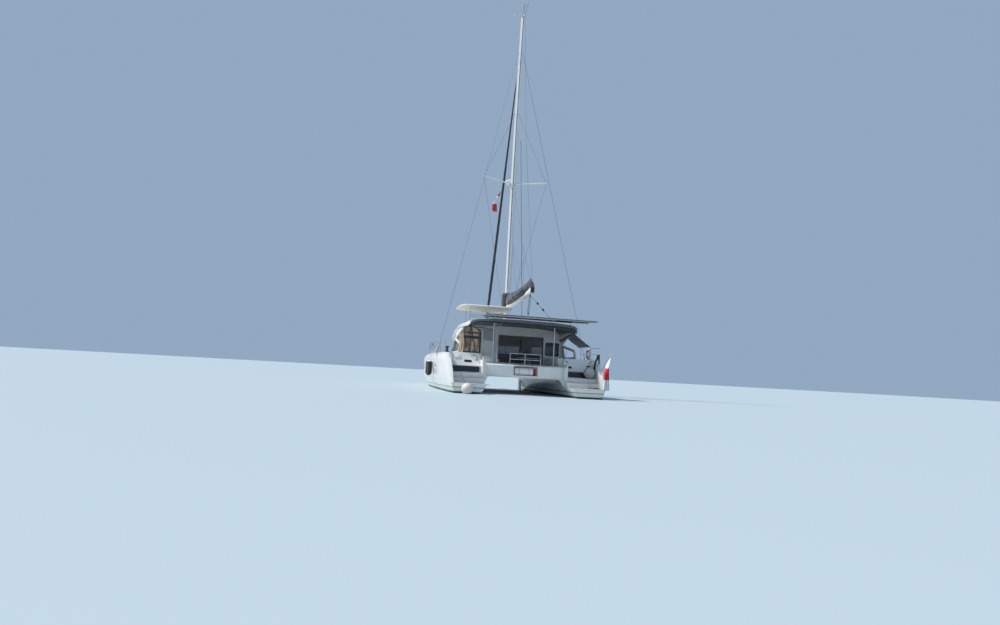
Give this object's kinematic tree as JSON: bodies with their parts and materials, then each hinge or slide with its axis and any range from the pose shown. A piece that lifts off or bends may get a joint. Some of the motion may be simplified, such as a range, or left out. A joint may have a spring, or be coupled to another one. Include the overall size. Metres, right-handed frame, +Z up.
{
  "type": "sailing catamaran",
  "caption": "Cruising catamaran afloat: slim hulls, a bridgedeck with saloon and covered cockpit, raised helm, mast, boom with the sail stowed, nets between the bows.",
  "frame": {"origin": "on the waterline, amidships, on the centreline between the hulls", "axes": "+X to starboard, +Y to the bows, +Z up"},
  "size_m": [7.9436, 13.2603, 22.4309],
  "materials": {
    "gelcoat": "glossy white gelcoat over glass fibre",
    "bottom_paint": "matt black antifouling",
    "bronze": "bronze, dulled by the sea",
    "tinted_glass": "smoked acrylic",
    "steel": "polished stainless steel",
    "alloy": "anodised and painted alloy spar",
    "solar_glass": "dark solar cells under glass",
    "sail_canvas": "taupe-grey acrylic canvas",
    "awning_canvas": "slate-grey awning canvas",
    "netting": "white woven netting",
    "teak": "weathered grey planking",
    "joinery": "light oak joinery, satin",
    "cushion_cloth": "woven upholstery",
    "vinyl": "cream vinyl",
    "fender_cover": "dark green-black fender socks",
    "clear_vinyl": "brown tinted flexible window",
    "flag_cloth": "woven polyester flag"
  },
  "bodies": {
    "platform": {"hull_starboard": "gelcoat", "hull_port": "gelcoat", "saildrive_starboard": "bottom_paint", "saildrive_port": "bottom_paint", "bridgedeck": "gelcoat", "aft_beam": "gelcoat", "coachroof": "gelcoat", "side_window_starboard": "tinted_glass", "side_window_port": "tinted_glass", "front_window": "tinted_glass", "aft_bulkhead": "gelcoat", "door_fixed_pane": "tinted_glass", "hardtop": "gelcoat", "side_wing_starboard": "gelcoat", "side_wing_port": "gelcoat", "hardtop_post_starboard": "steel", "hardtop_post_port": "steel", "solar_panel": "solar_glass", "solar_rack": "alloy", "helm_station": "gelcoat", "helm_bimini": "gelcoat", "helm_bimini_frame": "steel", "mast": "alloy", "cap_shroud_starboard": "steel", "cap_shroud_port": "steel", "furled_headsail": "sail_canvas", "crossbeam": "alloy", "anchor": "steel", "trampoline_starboard": "netting", "trampoline_port": "netting", "guard_rail_starboard": "steel", "guard_rail_port": "steel", "swim_ladder": "steel", "bench_rail": "steel", "cockpit_table": "teak", "aft_cushion": "cushion_cloth", "starboard_cushion": "cushion_cloth", "saloon_settee": "cushion_cloth", "saloon_table": "joinery", "galley": "joinery", "liferaft": "vinyl", "ball_fender_port": "vinyl", "ball_fender_starboard": "vinyl", "side_fender_forward": "fender_cover", "side_fender_aft": "fender_cover", "port_curtain": "clear_vinyl", "side_awning": "awning_canvas", "ensign_staff": "steel", "ensign": "flag_cloth", "lifebuoy": "vinyl"},
    "rudder_port": {"rudder_port": "bottom_paint"},
    "rudder_starboard": {"rudder_starboard": "bottom_paint"},
    "helm_wheel": {"steering_wheel": "steel"},
    "propeller_port": {"propeller_port": "bronze"},
    "propeller_starboard": {"propeller_starboard": "bronze"},
    "boom": {"boom": "alloy", "sail_bag": "sail_canvas"},
    "saloon_door": {"sliding_door": "tinted_glass"},
    "locker_lid_port": {"locker_lid_port": "gelcoat"},
    "locker_lid_starboard": {"locker_lid_starboard": "gelcoat"}
  },
  "joints": [
    {"name": "rudder_port_turn", "type": "hinge", "parent": "platform", "child": "rudder_port", "pos_m": [-2.78, -5.45, -0.5], "axis": [0, 0, 1], "range_deg": [-35, 35]},
    {"name": "rudder_starboard_turn", "type": "hinge", "parent": "platform", "child": "rudder_starboard", "pos_m": [2.78, -5.45, -0.5], "axis": [0, 0, 1], "range_deg": [-35, 35]},
    {"name": "helm_wheel_turn", "type": "hinge", "parent": "platform", "child": "helm_wheel", "pos_m": [-1.6, -2.42, 2.76], "axis": [0, 1, 0], "range_deg": [-540, 540]},
    {"name": "propeller_port_spin", "type": "hinge", "parent": "platform", "child": "propeller_port", "pos_m": [-2.78, -4.1, -0.85], "axis": [0, 1, 0], "continuous": true},
    {"name": "propeller_starboard_spin", "type": "hinge", "parent": "platform", "child": "propeller_starboard", "pos_m": [2.78, -4.1, -0.85], "axis": [0, 1, 0], "continuous": true},
    {"name": "boom_swing", "type": "hinge", "parent": "platform", "child": "boom", "pos_m": [0, -1.02, 4.39], "axis": [0, 0, 1], "range_deg": [-40, 40]},
    {"name": "saloon_door_slide", "type": "slide", "parent": "platform", "child": "saloon_door", "axis": [-1, 0, 0], "range_m": [0, 1.08]},
    {"name": "locker_lid_port_lift", "type": "hinge", "parent": "platform", "child": "locker_lid_port", "pos_m": [-0.96, 2.56, 1.7903], "axis": [1, 0, 0], "range_deg": [0, 90]},
    {"name": "locker_lid_starboard_lift", "type": "hinge", "parent": "platform", "child": "locker_lid_starboard", "pos_m": [0.96, 2.56, 1.7903], "axis": [1, 0, 0], "range_deg": [0, 90]}
  ],
  "couplings": [
    {"joint": "rudder_starboard_turn", "follows": "rudder_port_turn", "ratio": 1},
    {"joint": "helm_wheel_turn", "follows": "rudder_port_turn", "ratio": 15.4}
  ]
}
